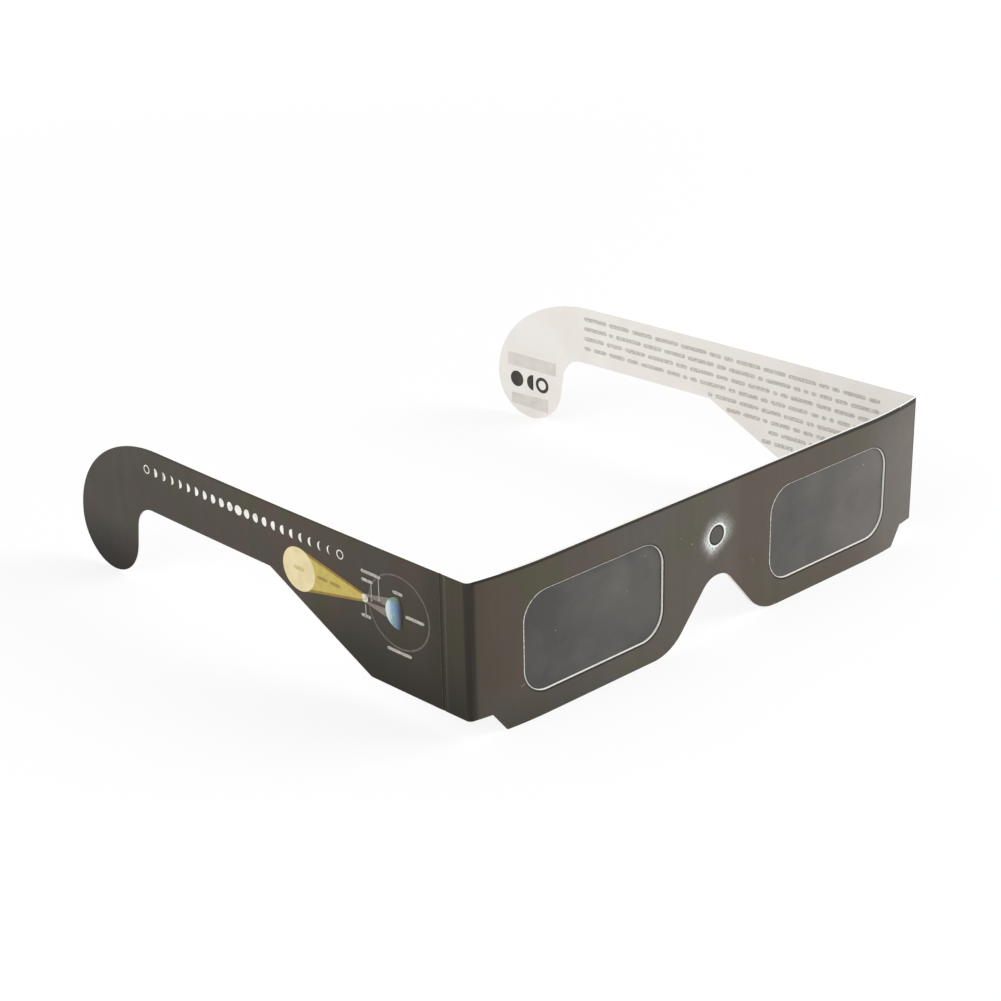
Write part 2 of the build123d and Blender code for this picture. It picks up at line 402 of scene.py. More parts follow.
def window_rims(look, colour, flat, height, wear):
    """Each window's worn light rim, broken above and at -X, and a painted shadow along the rest: a dark
    line just outside the rim.
    """
    low_right = window_gap(look, flat, height, 0.05, -0.05)
    up_left = window_gap(look, flat, height, -0.14, 0.02)
    side = look.ramp(look.take(window_gap(look, flat, height), low_right), -0.05, 0.07)
    # Painted shadow beside the window's edge, strongest at its right and lower sides
    shadow_line = look.band(low_right, 0.10, 0.50, 0.10)
    shadow_line = look.times(shadow_line, look.ramp(side, 0.0, 1.0, start=0.12, end=1.0))
    whole = look.times(look.span(low_right, 0.11, 0.04), look.span(wear, 0.3, 0.6, start=0.55, end=0.95))
    broken = look.times(look.span(up_left, 0.10, 0.02), look.span(wear, 0.35, 0.6, start=0.35, end=0.85))
    colour = look.tint(shadow_line, colour, RIM_SHADOW)
    return look.tint(look.most(whole, broken), colour, RIM_WHITE)


# Wear on the front, by place: lines with both ends and a width, and spots with a radius
SCRATCHES = (((-57.5, 8.5), (-56.6, 8.8), 0.2), ((18.1, -0.2), (19.3, 0.15), 0.5))
SPOTS = (((-11.6, 26.1), 0.15), ((-8.2, 23.8), 0.22), ((11.2, 13.6), 0.16), ((61.5, 29.6), 0.16))


def front_marks(look, colour, flat, height, wear):
    """The eclipsed sun, the dark line along the top, the windows' rims, and a few worn places."""
    colour = eclipsed_sun(look, colour, flat, height, wear)
    lowered = look.add(height, look.ramp(flat, 30.0, 66.0, end=0.45))
    top = look.span(lowered, FRONT_HEIGHT - 0.85, FRONT_HEIGHT - 0.45, end=0.85)
    colour = look.tint(top, colour, PRINT_DARK)
    colour = window_rims(look, colour, flat, height, wear)
    worn = 0.0
    for a, b, width in SCRATCHES:
        worn = look.most(worn, scratch(look, flat, height, a, b, width))
    for at, radius in SPOTS:
        worn = look.most(worn, spot(look, flat, height, at, radius))
    return look.tint(look.times(worn, 0.36), colour, WORN_BROWN)


# Stretches over which the front's tints change: along it from its middle, and up it
CREASE_SHADE_FADE = (2.6 - HALF_WIDTH, 1.2 - HALF_WIDTH)
CREASE_SHADE_TAIL = (10.0 - HALF_WIDTH, 4.0 - HALF_WIDTH)
LOW_FADE, LOW_STRETCH = (10.0, -4.0), (-50.0, -30.0)
SHEEN_STRETCH, WINDOW_PALE = (-75.0, 45.0), (-42.0, -30.0)
END_PALE, END_PALE_FALL = (38.0, 60.0), (34.0, 26.0)
CORNER_PALE, CORNER_PALE_RISE = (-65.0, -62.0), (14.0, 28.0)
BROWN_START, BROWN_END = (3.0, 9.0), (42.0, 58.0)
FAR_BROWN, FAR_BROWN_RISE = (-57.0, -62.0), (4.0, 12.0)


def front_shades(look, flat, height):
    """Shares of the dark, pale, grey and brown tints on the front. The dark is painted shade beside the
    crease at -X and towards the lower edge near -X. The pale is a painted sheen that grows towards +X,
    most at the +X end below its top, with a faint paler band near -X. It is browner at its -X end and
    on its +X half."""
    # Painted shade beside the crease at -X
    corner = look.span(flat, *CREASE_SHADE_FADE, end=0.8)
    corner = look.most(corner, look.span(flat, *CREASE_SHADE_TAIL, end=0.08))
    # Painted shade towards the lower edge near -X
    low = look.times(look.span(height, *LOW_FADE), look.ramp(flat, *LOW_STRETCH, start=0.32, end=0.02))
    # Painted sheen: paler towards +X, most at the +X end below its top, with a faint paler band near -X
    end_sheen = look.span(flat, *END_PALE, end=0.30)
    end_sheen = look.times(end_sheen, look.ramp(height, *END_PALE_FALL, start=0.5, end=1.0))
    window_pale = look.span(flat, *WINDOW_PALE, end=0.08)
    corner_pale = look.band(flat, *CORNER_PALE, soft=2.5)
    corner_pale = look.times(corner_pale, look.span(height, *CORNER_PALE_RISE, end=0.13))
    pale = look.ramp(flat, *SHEEN_STRETCH, start=0.05, end=0.35)
    for more in (end_sheen, window_pale, corner_pale):
        pale = look.add(pale, more)
    brown = look.span(flat, *BROWN_START, end=0.42)
    brown = look.times(brown, look.span(flat, *BROWN_END, start=1.0, end=0.2))
    far_brown = look.times(look.span(flat, *FAR_BROWN, end=0.55), look.span(height, *FAR_BROWN_RISE))
    return look.most(corner, low), pale, 0.0, look.most(brown, far_brown)


# Stretches over which the temples' tints change: along them from the crease, and up them
SLIM_START, GREYER, PALE_FALL, NEAR_FADE = (35.0, 55.0), (60.0, 110.0), (0.0, 60.0), (60.0, 16.0)
WIDE_LOW, SLIM_LOW, LOWEST, NEAR_RISE = 24.0, 16.0, -1.0, (33.0, 24.0)


def temple_shades(look, flat, height):
    """Shares of the dark, pale and grey tints on a temple. Painted shade darkens it towards its lower
    edge, at and near its crease, and in a band just past its score line; it is darker along its top
    edge and greyer at its hook. The one at +X carries on the front's painted sheen, starting as pale
    as the front's end."""
    u = look.take(look.plain(flat), HALF_WIDTH)
    slim = look.ramp(u, *SLIM_START)
    # Painted shade towards the lower edge, less on the temple at +X
    low = look.span(height, look.ramp(slim, 0.0, 1.0, start=WIDE_LOW, end=SLIM_LOW), LOWEST)
    top = look.span(height, FRONT_HEIGHT - 0.8, FRONT_HEIGHT - 0.3, end=0.3)
    # Painted shade at the crease
    crease = look.span(u, CREASE_LENGTH + 0.7, CREASE_LENGTH - 0.2, end=0.6)
    # Painted shadow in a band just past the score line, towards the hook
    behind = look.span(u, SCORE_PLACE + 9.0, SCORE_PLACE + 0.5, end=0.22)
    behind = look.times(behind, look.span(u, SCORE_PLACE - 0.2, SCORE_PLACE + 0.2, start=0.5, end=1.0))
    # Painted shade near the crease, more on the temple at -X, and a little below the top
    near = look.add(look.span(u, *NEAR_FADE, end=0.17), behind)
    near = look.times(near, look.by_side(flat, 1.0, 0.2))
    near = look.add(near, look.ramp(height, *NEAR_RISE, end=0.10))
    deepest = look.times(look.ramp(slim, 0.0, 1.0, start=0.86, end=0.98), look.by_side(flat, 1.0, 0.75))
    deeper = look.add(near, look.times(low, look.take(deepest, near)))
    # Painted sheen at +X, carried on from the front's end
    pale = look.times(look.by_side(flat, 0.0, 1.0), look.span(u, *PALE_FALL, start=0.45, end=0.1))
    grey = look.span(u, *GREYER, end=0.4)
    return look.most(look.most(deeper, top), crease), look.add(0.12, pale), grey


def temple_marks(look, colour, flat, height, wear):
    """The second score line: painted shade in its groove, and a faint light lip on its front side, part
    wear and part painted highlight, brighter towards the top.
    """
    u = look.take(look.plain(flat), HALF_WIDTH)
    # Painted shade in the groove
    groove = look.band(u, SCORE_PLACE - 0.25, SCORE_PLACE + 0.55, 0.3)
    # The lip: part wear, part painted highlight
    lip = look.band(u, SCORE_PLACE - 0.9, SCORE_PLACE - 0.6, 0.35)
    lip = look.times(lip, look.ramp(height, 0.0, FRONT_HEIGHT, start=0.4, end=1.0))
    colour = look.tint(look.times(groove, 0.3), colour, PRINT_DARK)
    return look.tint(look.times(lip, look.span(wear, 0.25, 0.7, start=0.03, end=0.10)), colour, DUST_AND_HIGHLIGHT)


# Painted sheen on the films as paler patches, by place, radius and strength, and light specks by place and
# radius
FILM_SHEENS = (((-34.0, 18.5), 17.0, 0.36), ((-21.5, 22.0), 9.0, 0.26))
FILM_SPECKS = (
    ((49.1, 24.6), 0.22),
    ((43.9, 22.5), 0.12),
    ((-27.4, 19.2), 0.12),
    ((-47.8, 17.6), 0.14),
    ((-22.0, 25.5), 0.14),
)


def film_look():
    """Black polymer film with soft blotches, faint streaks and a few light specks, under a painted sheen
    that grows towards +X in each window, stronger on the right film and in a few patches, and with a
    painted shadow beside each window's +X edge.
    """
    look = Look("filter_film")
    flat = look.take(look.dot(look.place, X), front_x)
    height = look.dot(look.place, Z)
    wide = look.scaled(look.place, (0.8, 1.0, 0.9))
    blotch = look.noise(wide, size=8.0, detail=3.0, rough=0.5, warp=0.3)
    streak = look.noise(look.scaled(look.place, (0.12, 1.0, 1.0)), size=1.4, detail=2.0, rough=0.6)
    to_right = look.times(look.take(look.plain(flat), WINDOW_X), look.by_side(flat, -1.0, 1.0))
    sheen_slope = look.by_side(flat, 0.10 / WINDOW_HALF_WIDTH, 0.26 / WINDOW_HALF_WIDTH)
    # Painted sheen: paler towards +X in each window, and on the right film more than the left
    level = look.add(look.times(to_right, sheen_slope), look.by_side(flat, 0.10, 0.53))
    for (x, z), radius, gain in FILM_SHEENS:
        away = look.size(look.take(flat, x), look.take(height, z))
        level = look.add(level, look.span(away, radius, 1.0, end=gain))
    level = look.add(level, look.span(blotch, 0.25, 0.75, start=-0.2, end=0.2))
    specks = look.span(look.noise(look.place, size=0.5, detail=1.0, rough=0.5), 0.79, 0.83, end=0.9)
    for at, radius in FILM_SPECKS:
        specks = look.most(specks, spot(look, flat, height, at, radius))
    # Painted shadow of the window's +X edge on the film
    film_shadow = look.span(window_gap(look, flat, height), -0.32, -0.22)
    film_shadow = look.times(film_shadow, look.span(to_right, 17.5, 19.0, end=0.9))
    colour = look.tint(look.math("MULTIPLY", level, 1.0, True), FILM_DARK, FILM_PALE)
    colour = look.tint(look.span(streak, 0.45, 0.75, end=0.025), colour, FILM_STREAK)
    colour = look.tint(look.times(specks, 0.5), colour, FILM_SPECK)
    colour = look.tint(film_shadow, colour, PRINT_DARK)
    roughness = look.span(blotch, 0.3, 0.7, start=0.34, end=0.42)
    ripple = look.times(look.noise(wide, size=9.0, detail=2.0, rough=0.5), 0.06)
    return look.finish(colour, roughness, ripple, 0.5)


def card_look(name):
    look = Look(name)
    colour, fibres = white_card(look, look.place)
    return look.finish(colour, CARD_ROUGHNESS, fibres)


def fold_look():
    """The fold along the top: printed in front, bare white behind its crest and at its ends."""
    look = Look("fold_print")
    dark = look.tint(0.7, dark_print(look, look.place), PRINT_DARK)
    white, fibres = white_card(look, look.place)
    ends = look.span(look.plain(look.dot(look.normal, X)), 0.6, 0.8)
    behind = look.span(look.dot(look.normal, Y), -0.62, -0.46)
    colour = look.tint(look.most(ends, behind), dark, white)
    return look.finish(colour, 0.6, fibres, Specular_IOR_Level=FRONT_GLOSS)


def crease_look():
    """The worn outer side of a corner crease: its print is darkened by painted shade, more towards the
    bottom, and shows light cracks.
    """
    look = Look("shaded_crease_print")
    height = look.dot(look.place, Z)
    # Painted shade, darker towards the bottom
    colour = dark_print(look, look.place, look.span(height, 34.0, 8.0, start=0.48, end=0.68))
    cracks = look.noise(look.place, size=0.5, detail=4.0, rough=0.7)
    colour = look.tint(look.span(cracks, 0.66, 0.8, end=0.14), colour, CRACK_PALE)
    return look.finish(colour, 0.5, look.times(cracks, 0.012), Specular_IOR_Level=TEMPLE_GLOSS)


def ink_look(name, colour, shade, size):
    """Printed ink or dry glue: two close tints in patches of about the given size."""
    look = Look(name)
    patch = look.noise(look.place, size=size, detail=3.0, rough=0.6)
    mixed = look.tint(look.span(patch, 0.35, 0.7), colour, shade)
    return look.finish(mixed, 0.5, look.times(patch, 0.004), 0.5, Specular_IOR_Level=TEMPLE_GLOSS)


# The diagram on the near temple: places in millimetres along the card from the hinge, and up
SUN_U, MOON_U, PLANET_U = 49.0, 28.5, 18.75
AXIS_Z, PLANET_Z, PLANET_RADIUS = 22.3, 22.0, 3.55


def place_on_temple(look, side, u, z):
    """Millimetres along the temple and up from the place (u, z)."""
    start = hinge_point(side).dot(heading(side)) + u
    along = look.take(look.dot(look.place, heading(side)), start)
    return along, look.take(look.dot(look.place, Z), z)


SEA, LAND, CLOUD = rgb(116, 146, 186), rgb(118, 148, 112), rgb(210, 222, 216)
DEEP_SEA, DEEP_LAND, NIGHT = rgb(98, 122, 172), rgb(104, 134, 92), rgb(58, 51, 43)


def planet_look():
    """Pale seas, land and cloud on the lit side, and night on the other."""
    look = Look("planet_ink")
    along, height = place_on_temple(look, -1, PLANET_U, PLANET_Z)
    coords = look.vector(along, 0.0, height)
    land = look.span(look.noise(coords, size=3.2, detail=3.0, rough=0.6, warp=0.8), 0.46, 0.56)
    cloud = look.span(look.noise(coords, size=1.6, detail=3.0, rough=0.6, warp=1.2), 0.48, 0.70, end=0.6)
    pale = look.most(cloud, look.span(along, 1.3, 3.0, end=0.8))
    dusk = look.span(along, 1.4, 0.2, end=0.7)
    cap = look.span(height, 1.7, 2.8, end=0.8)
    night = look.span(along, 1.0, -1.2)
    colour = look.tint(land, SEA, LAND)
    for share, tint in ((pale, CLOUD), (dusk, DEEP_SEA), (cap, DEEP_LAND), (night, NIGHT)):
        colour = look.tint(share, colour, tint)
    return look.finish(colour, 0.5, Specular_IOR_Level=TEMPLE_GLOSS)


# The cut edges, the glue and the inks: a colour, its shade and the size of their patches
INKS = {
    "cut_edge": (CORE_WHITE, rgb(214, 208, 198), 0.5),
    "dry_glue": (rgb(222, 216, 200), rgb(205, 198, 180), 2.0),
    "white_ink": (rgb(240, 238, 233), rgb(214, 210, 203), 1.2),
    "cone_edge_ink": (rgb(150, 126, 62), rgb(136, 112, 54), 1.2),
    "cone_ink": (rgb(190, 172, 97), rgb(181, 163, 86), 1.2),
    "sun_ink": (rgb(224, 210, 167), rgb(215, 200, 155), 3.0),
    "shadow_ink": (rgb(132, 122, 114), rgb(116, 106, 99), 1.2),
    "core_shadow_ink": (rgb(78, 71, 66), rgb(68, 62, 57), 1.2),
    "orbit_ink": (rgb(104, 97, 90), rgb(90, 83, 77), 1.2),
    "moon_ink": (rgb(222, 216, 202), rgb(180, 172, 158), 0.8),
    "label_ink": (rgb(198, 192, 184), rgb(104, 98, 91), 0.3),
    "leader_ink": (rgb(176, 171, 163), rgb(154, 149, 141), 0.8),
    "sun_label_ink": (rgb(186, 170, 116), rgb(208, 194, 142), 0.4),
    "ray_label_ink": (rgb(138, 122, 62), rgb(170, 152, 80), 0.4),
    "grey_ink": (rgb(176, 171, 163), rgb(216, 212, 206), 0.5),
    "pale_ink": (rgb(213, 209, 202), rgb(205, 200, 192), 3.0),
    "dark_ink": (rgb(62, 59, 56), rgb(74, 71, 67), 1.2),
}
inks = {name: ink_look(name, *tints) for name, tints in INKS.items()}

front_print = printed_look(
    "front_print", Vector((front_x, 0, 0)), X, -Y, 0.0, front_shades, front_marks, FRONT_GLOSS
)
temple_prints = {}
for side in SIDES:
    temple_prints[side] = printed_look(
        TEMPLES[side] + "_print", hinge_point(side), side * heading(side), outward(side),
        side * (HALF_WIDTH + CREASE_LENGTH), temple_shades, temple_marks, TEMPLE_GLOSS,
        score=HALF_WIDTH + SCORE_PLACE,
    )
bare_card = card_look("bare_card")
film = film_look()
shaded_crease_print = crease_look()

dressing = {
    "front_panel": front_print,
    "top_fold": fold_look(),
    "back_panel": bare_card,
    "panel_glue": inks["dry_glue"],
    "left_filter": film,
    "right_filter": film,
    "left_temple": temple_prints[-1],
    "right_temple": temple_prints[1],
}
for node, material in dressing.items():
    mesh = nodes[node].data
    mesh.materials.clear()
    mesh.materials.append(material)


def new_object(name, bm, materials):
    bmesh.ops.recalc_face_normals(bm, faces=bm.faces)
    mesh = bpy.data.meshes.new(name)
    bm.to_mesh(mesh)
    bm.free()
    for material in materials:
        mesh.materials.append(material)
    obj = bpy.data.objects.new(name, mesh)
    bpy.context.scene.collection.objects.link(obj)
    return obj


# Corner creases: steps round the bend and up it, and how far in from the strip's ends two points along it
# are set, which nothing further uses
BEND_STEPS, BEND_LEVELS, BLEND_INSET = 16, 12, 0.15


def corner_strip(side):
    """The card's round bend, from the end of the front to the start of a temple."""
    curled = HALF_WIDTH - CREASE_OUTER - FLAT_HALF
    end_curl = math.degrees(math.asin(curled / (CURL_RADIUS - CREASE_OUTER)))
    first, last = end_curl - 90, -SPLAYS[side]
    rise = (FRONT_HEIGHT - CREASE_BASE) / BEND_LEVELS
    bm = bmesh.new()

    def point(radius, share, level=0):
        angle = math.radians(first + (last - first) * share)
        xy = hinges[side] + radius * Vector((side * math.cos(angle), math.sin(angle)))
        return Vector((xy.x, xy.y, CREASE_BASE + rise * level)) * MM

    def column(radius, share):
        return [bm.verts.new(point(radius, share, level)) for level in range(BEND_LEVELS + 1)]

    def face(corners, slot, smooth):
        made = bm.faces.new(corners)
        made.material_index = slot
        made.smooth = smooth

    rings = [
        [column(radius, i / BEND_STEPS) for radius in (CREASE_INNER, CREASE_OUTER)]
        for i in range(BEND_STEPS + 1)
    ]
    for a, b in zip(rings, rings[1:]):
        for k in range(BEND_LEVELS):
            for skin, slot in ((1, 0), (0, 1)):
                face((a[skin][k], b[skin][k], b[skin][k + 1], a[skin][k + 1]), slot, True)
        for k in (0, BEND_LEVELS):
            face((a[0][k], b[0][k], b[1][k], a[1][k]), 2, False)
    for ring in (rings[0], rings[-1]):
        for k in range(BEND_LEVELS):
            face((ring[0][k], ring[1][k], ring[1][k + 1], ring[0][k + 1]), 2, False)
    obj = new_object(SIDE_NAMES[side] + "_crease_strip", bm, [shaded_crease_print, bare_card, inks["cut_edge"]])
    middle = (CREASE_INNER + CREASE_OUTER) / 2
    start, end = (point(middle, share) for share in (0, 1))
    trim = (end - start).normalized() * BLEND_INSET * MM
    start, end = start + trim, end - trim
    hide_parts(SIDE_NAMES[side] + "_corner_crease")
    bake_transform(obj)


for side in SIDES:
    corner_strip(side)

# Prints on the temples: how far the ink stands over the card and goes into it, how far one layer
# lies over another, how far the printed side lies from the hinge, and where the rays at it start
INK_LIFT, INK_SINK, INK_LAYER = 0.02, 0.03, 0.02
CARD_STEP, RAY_START = 1.0, 4.0


def join_lines(bm, a, b, closed):
    """Faces between two lines of as many points."""
    count = len(a)
    for i in range(count if closed else count - 1):
        j = (i + 1) % count
        bm.faces.new((a[i], a[j], b[j], b[i]))


class Printer:
    """Puts flat ink shapes on one face of a temple. Places are millimetres along the card from
    the hinge, and up."""

    def __init__(self, side, inner):
        self.side = side
        self.node = nodes[TEMPLES[side]]
        self.normal = outward(side) * (-1 if inner else 1)

    def point(self, u, z, lift):
        base = hinge_point(self.side, z) + heading(self.side) * u
        above = (base + outward(self.side) * CARD_STEP + self.normal * RAY_START) * MM
        hit, place, _, _ = self.node.ray_cast(above, -self.normal)
        if not hit:
            raise ValueError(f"no card under ({u:.1f}, {z:.1f})")
        return place + self.normal * lift * MM

    def level(self, bm, lines, lift):
        return [[bm.verts.new(self.point(u, z, lift)) for u, z in line] for line in lines]

    def stamp(self, name, shapes, material, layer=0):
        """Each shape is a disc with one outline, a ring with two, or rails: the upper and the lower
        edge of a strip, with as many points in each."""
        bm = bmesh.new()
        for kind, *lines in shapes:
            tops = self.level(bm, lines, INK_LIFT + INK_LAYER * layer)
            soles = self.level(bm, lines, -INK_SINK)
            if kind == "rails":
                join_lines(bm, tops[0] + tops[1][::-1], soles[0] + soles[1][::-1], True)
            else:
                for top, sole in zip(tops, soles):
                    join_lines(bm, top, sole, True)
            for level in (tops, soles):
                if kind == "disc":
                    bm.faces.new(level[0])
                else:
                    join_lines(bm, *level, kind == "ring")
        bmesh.ops.triangulate(bm, faces=[f for f in bm.faces if len(f.verts) > 4])
        obj = new_object(name, bm, [material])
        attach(obj, ARMS[self.side])


def oval(u, z, ru, rz, sides=40):
    angles = [2 * math.pi * i / sides for i in range(sides)]
    return [(u + ru * math.cos(t), z + rz * math.sin(t)) for t in angles]


def disc(u, z, radius, sides=40, rise=None):
    return "disc", oval(u, z, radius, rise or radius, sides)


def ring(u, z, radius, width, sides=72, rise=None):
    rise = rise or radius
    half = width / 2
    outer, inner = (oval(u, z, radius + step, rise + step, sides) for step in (half, -half))
    return "ring", outer, inner


def moon(u, z, radius, share, flip=False, sides=14):
    """The lit part of a moon: share runs from a thin crescent near 0, through a half, to full at 1."""
    lit = []
    for i in range(sides + 1):
        t = math.pi * (i / sides - 0.5)
        lit.append((radius * math.cos(t), radius * math.sin(t)))
    bulge = radius * (1 - 2 * share)
    for i in range(1, sides):
        t = math.pi * (0.5 - i / sides)
        lit.append((bulge * math.cos(t), radius * math.sin(t)))
    way = -1 if flip else 1
    return "disc", [(u + way * a, z + b) for a, b in lit][::way]


def beam(u_a, half_a, u_b, half_b, z, step=2.5):
    """A strip that widens evenly from one half width to another, cut often enough to follow the card."""
    count = max(2, math.ceil(abs(u_b - u_a) / step) + 1)
    shares = [i / (count - 1) for i in range(count)]
    cuts = [(u_a + (u_b - u_a) * t, half_a + (half_b - half_a) * t) for t in shares]
    return "rails", [(u, z + half) for u, half in cuts], [(u, z - half) for u, half in cuts]


def post(u, high, low, width):
    """An upright line."""
    half = width / 2
    return "rails", [(u - half, high), (u + half, high)], [(u - half, low), (u + half, low)]


def bar(u_a, u_b, z, height, sides=6):
    """A short line with round ends."""
    radius = height / 2
    points = []
    for centre, start in ((max(u_a, u_b) - radius, -0.5), (min(u_a, u_b) + radius, 0.5)):
        for i in range(sides + 1):
            t = math.pi * (start + i / sides)
            points.append((centre + radius * math.cos(t), z + radius * math.sin(t)))
    return "disc", points


outside = Printer(-1, inner=False)

# A row of moon phases along the top: a ring at both ends, the full moon in the middle
PHASES, PHASE_START, PHASE_END, PHASE_Z = 23, 35.6, 101.2, 29.8
PHASE_RADIUS, FULL_RADIUS, NEW_WIDTH = 1.05, 1.15, 0.24
THINNEST, FATTEST = 0.10, 0.94
phases = []
for i in range(PHASES):
    u = PHASE_START + (PHASE_END - PHASE_START) * i / (PHASES - 1)
    share = 1 - abs(2 * i / (PHASES - 1) - 1)
    if i in (0, PHASES - 1):
        phases.append(ring(u, PHASE_Z, PHASE_RADIUS - NEW_WIDTH / 2, NEW_WIDTH, 28))
    elif i == PHASES // 2:
        phases.append(disc(u, PHASE_Z, FULL_RADIUS, 28))
    else:
        lit = THINNEST + (FATTEST - THINNEST) * share
        phases.append(moon(u, PHASE_Z, PHASE_RADIUS, lit, flip=i > PHASES // 2))
outside.stamp("moon_phase_row", phases, inks["white_ink"])

# The sun, the moon and its shadow, and the planet
SUN_Z, SUN_RADIUS, SUN_RISE = AXIS_Z - 0.1, 5.1, 5.0
MOON_RADIUS = 0.95
ORBIT_U, ORBIT_RADIUS, ORBIT_RISE, ORBIT_WIDTH = 18.5, 8.8, 8.1, 0.42
light_edge = beam(SUN_U - 0.5, 5.0, MOON_U, 0.9, AXIS_Z)
light = beam(SUN_U - 2.5, 3.9, MOON_U + 0.4, 0.45, AXIS_Z)
sun = disc(SUN_U, SUN_Z, SUN_RADIUS, 56, SUN_RISE)
shadow = beam(MOON_U, MOON_RADIUS, PLANET_U + 2.0, 2.5, AXIS_Z)
core_shadow = beam(MOON_U - 0.4, 0.6, PLANET_U + 3.0, 0.3, AXIS_Z)
orbit = ring(ORBIT_U, AXIS_Z, ORBIT_RADIUS, ORBIT_WIDTH, 72, ORBIT_RISE)
planet = moon(PLANET_U, PLANET_Z, PLANET_RADIUS, 0.7, sides=24)
outside.stamp("light_cone_edge", [light_edge], inks["cone_edge_ink"])
outside.stamp("light_cone", [light], inks["cone_ink"], layer=1)
outside.stamp("sun_disc", [sun], inks["sun_ink"], layer=2)
outside.stamp("shadow_cone", [shadow], inks["shadow_ink"])
outside.stamp("core_shadow", [core_shadow], inks["core_shadow_ink"], layer=1)
outside.stamp("orbit_ring", [orbit], inks["orbit_ink"])
outside.stamp("moon_disc", [disc(MOON_U, AXIS_Z, MOON_RADIUS, 28)], inks["moon_ink"], layer=3)
outside.stamp("planet_disc", [planet], planet_look(), layer=4)

# Short bars by both ends and height, and leader lines by place, top and bottom
LABEL_BARS = (
    (23.5, 29.3, 28.4),
    (25.9, 29.3, 26.5),
    (26.8, 29.7, 18.3),
    (17.1, 20.0, 26.6),
    (11.1, 16.5, 22.1),
    (15.1, 22.2, 13.3),
)
SUN_BAR, RAY_BARS = (47.3, 50.7, 22.4), ((39.9, 43.2, 22.3), (36.0, 39.2, 22.3))
LEADERS = ((24.1, 28.0, 23.3), (26.4, 26.2, 22.5), (28.3, 21.0, 18.6))
LABEL_HEIGHT, SUN_BAR_HEIGHT, RAY_BAR_HEIGHT = 0.7, 0.9, 0.8
LEADER_WIDTH, LEADER_DOT, DOTTED_LEADERS = 0.18, 0.26, 2
leaders = [post(u, high, low, LEADER_WIDTH) for u, high, low in LEADERS]
leaders += [disc(u, low, LEADER_DOT, 12) for u, high, low in LEADERS[:DOTTED_LEADERS]]
outside.stamp("label_bars", [bar(*place, LABEL_HEIGHT) for place in LABEL_BARS], inks["label_ink"], layer=4)
outside.stamp("leader_lines", leaders, inks["leader_ink"], layer=5)
outside.stamp("sun_bar", [bar(*SUN_BAR, SUN_BAR_HEIGHT)], inks["sun_label_ink"], layer=3)
ray_bars = [bar(*place, RAY_BAR_HEIGHT) for place in RAY_BARS]
outside.stamp("ray_bars", ray_bars, inks["ray_label_ink"], layer=2)

# Rows of bars inside the far temple. Each row ends at its own place and starts at about the same one
within = Printer(1, inner=True)
draw = random.Random(11)
ROW_TOP, ROW_PITCH, ROW_TILT, ROW_START, ROW_SCATTER = 31.0, 2.67, 0.011, 8.0, 1.5
ROW_ENDS = (99.2, 99.2, 99.2, 99.2, 59.2, 53.4, 40.4, 42.4)
BAR_HEIGHT, BAR_GAP, BAR_STEP, BAR_STEPS = 1.05, 0.8, 0.74, (2, 11)
SHORTEST_BAR = 2.0
rows = []
for row, far in enumerate(ROW_ENDS):
    level = ROW_TOP - ROW_PITCH * row
    near = ROW_START + draw.uniform(0.0, ROW_SCATTER)
    u = far
    while u > near + SHORTEST_BAR:
        length = min(draw.randint(*BAR_STEPS) * BAR_STEP, u - near)
        rows.append(bar(u - length, u, level + ROW_TILT * (u - ROW_START), BAR_HEIGHT))
        u -= length + BAR_GAP
within.stamp("row_bars", rows, inks["grey_ink"])

# Three eclipse signs on its hook, between two pale patches. A patch has a start and an end, each
# with a half width, and a height
SIGN_Z, SIGN_RADIUS, SIGN_RING = 10.1, 2.2, 0.9
TOTAL_U, PARTIAL_U, RING_U = 122.6, 116.9, 113.8
PATCHES = ((109.0, 1.8, 125.6, 1.8, 15.5), (111.8, 1.9, 124.6, 1.5, 4.4))
signs = [
    disc(TOTAL_U, SIGN_Z, SIGN_RADIUS, 40),
    moon(PARTIAL_U, SIGN_Z, SIGN_RADIUS, 0.4),
    ring(RING_U, SIGN_Z, SIGN_RADIUS - SIGN_RING / 2, SIGN_RING, 40),
]
within.stamp("pale_patches", [beam(*patch) for patch in PATCHES], inks["pale_ink"])
within.stamp("eclipse_signs", signs, inks["dark_ink"])


# Floor, world and lamps
def seen_plainly(tree):
    """1 for the eye and in reflections, 0 for the light that falls on things."""
    rays = tree.nodes.new("ShaderNodeLightPath")
    share = rays.outputs["Is Camera Ray"]
    for name in ("Is Glossy Ray", "Is Transmission Ray"):
        either = tree.nodes.new("ShaderNodeMath")
        either.operation = "MAXIMUM"
        tree.links.new(share, either.inputs[0])
        tree.links.new(rays.outputs[name], either.inputs[1])
        share = either.outputs[0]
    return share


def mixed_shader(tree, share, a, b):
    mix = tree.nodes.new("ShaderNodeMixShader")
    tree.links.new(share, mix.inputs[0])
    tree.links.new(a, mix.inputs[1])
    tree.links.new(b, mix.inputs[2])
    return mix.outputs[0]


def even_shader(tree, kind, level, strength=None):
    node = tree.nodes.new("ShaderNode" + kind)
    node.inputs["Color"].default_value = (level, level, level, 1.0)
    if strength is not None:
        node.inputs["Strength"].default_value = strength
    return node.outputs[0]


def build_world(strength):
    world = bpy.data.worlds.new("studio")
    bpy.context.scene.world = world
    world.use_nodes = True
    tree = world.node_tree
    tree.nodes.clear()
    light = even_shader(tree, "Background", 1.0, strength)
    white = even_shader(tree, "Background", 1.0, 1.0)
    out = tree.nodes.new("ShaderNodeOutputWorld")
    tree.links.new(mixed_shader(tree, seen_plainly(tree), light, white), out.inputs[0])


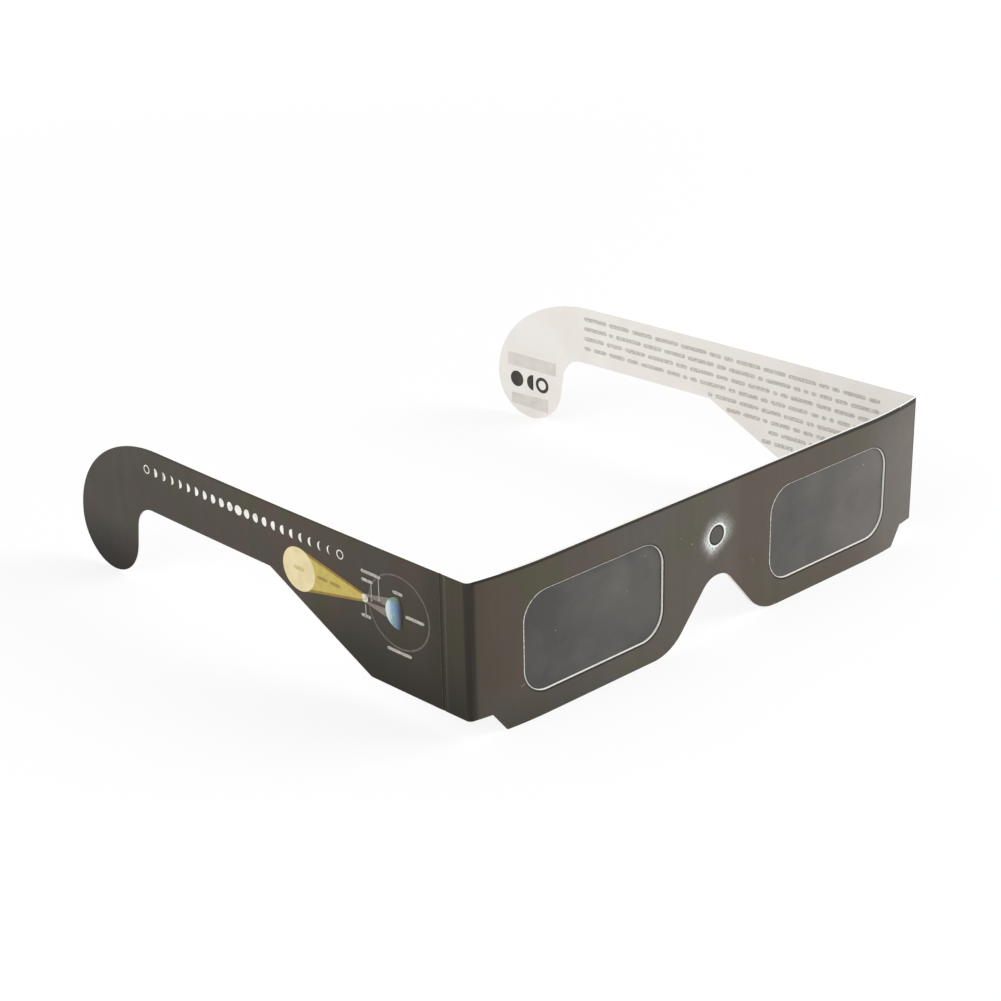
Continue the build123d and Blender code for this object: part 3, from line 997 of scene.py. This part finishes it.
def whiter_with_distance(tree, near, share_near, far):
    """From share_near close to the object to 1 far from it."""
    place = tree.nodes.new("ShaderNodeTexCoord")
    away = tree.nodes.new("ShaderNodeVectorMath")
    away.operation = "LENGTH"
    tree.links.new(place.outputs["Object"], away.inputs[0])
    share = tree.nodes.new("ShaderNodeMapRange")
    for index, value in enumerate((near, far, share_near, 1.0), 1):
        share.inputs[index].default_value = value
    tree.links.new(away.outputs["Value"], share.inputs[0])
    return share.outputs[0]


# In metres
FLOOR_SIZE, FLOOR_DEPTH = 3.0, 0.00002
WHITE_NEAR, WHITE_FAR = 0.14, 0.5


def build_floor(level, share_white):
    """A matte pale floor that is seen as part white, more so far from the object."""
    bm = bmesh.new()
    bmesh.ops.create_grid(bm, x_segments=8, y_segments=8, size=FLOOR_SIZE)
    material = bpy.data.materials.new("floor_white")
    material.use_nodes = True
    tree = material.node_tree
    tree.nodes.clear()
    matte = even_shader(tree, "BsdfDiffuse", level)
    white = even_shader(tree, "Emission", 1.0, 1.0)
    share = whiter_with_distance(tree, WHITE_NEAR, share_white, WHITE_FAR)
    seen = mixed_shader(tree, share, matte, white)
    out = tree.nodes.new("ShaderNodeOutputMaterial")
    tree.links.new(mixed_shader(tree, seen_plainly(tree), matte, seen), out.inputs[0])
    floor = new_object("floor", bm, [material])
    floor.location.z = -FLOOR_DEPTH


def lamp(name, place, aim, size, power):
    data = bpy.data.lights.new(name, "AREA")
    data.shape = "RECTANGLE"
    data.size, data.size_y = size
    data.energy = power
    obj = bpy.data.objects.new(name, data)
    bpy.context.scene.collection.objects.link(obj)
    obj.location = place
    obj.rotation_euler = (Vector(aim) - Vector(place)).to_track_quat("-Z", "Y").to_euler()


build_world(strength=0.72)
build_floor(level=0.86, share_white=0.8)
lamp("key", place=(0.58, -0.5, 0.55), aim=(0.0, -0.04, 0.02), size=(0.6, 0.5), power=5.0)
lamp("side", place=(-0.85, -0.05, 0.55), aim=(0.0, 0.0, 0.02), size=(0.6, 0.6), power=3.4)
bpy.context.scene.view_settings.view_transform = "Standard"
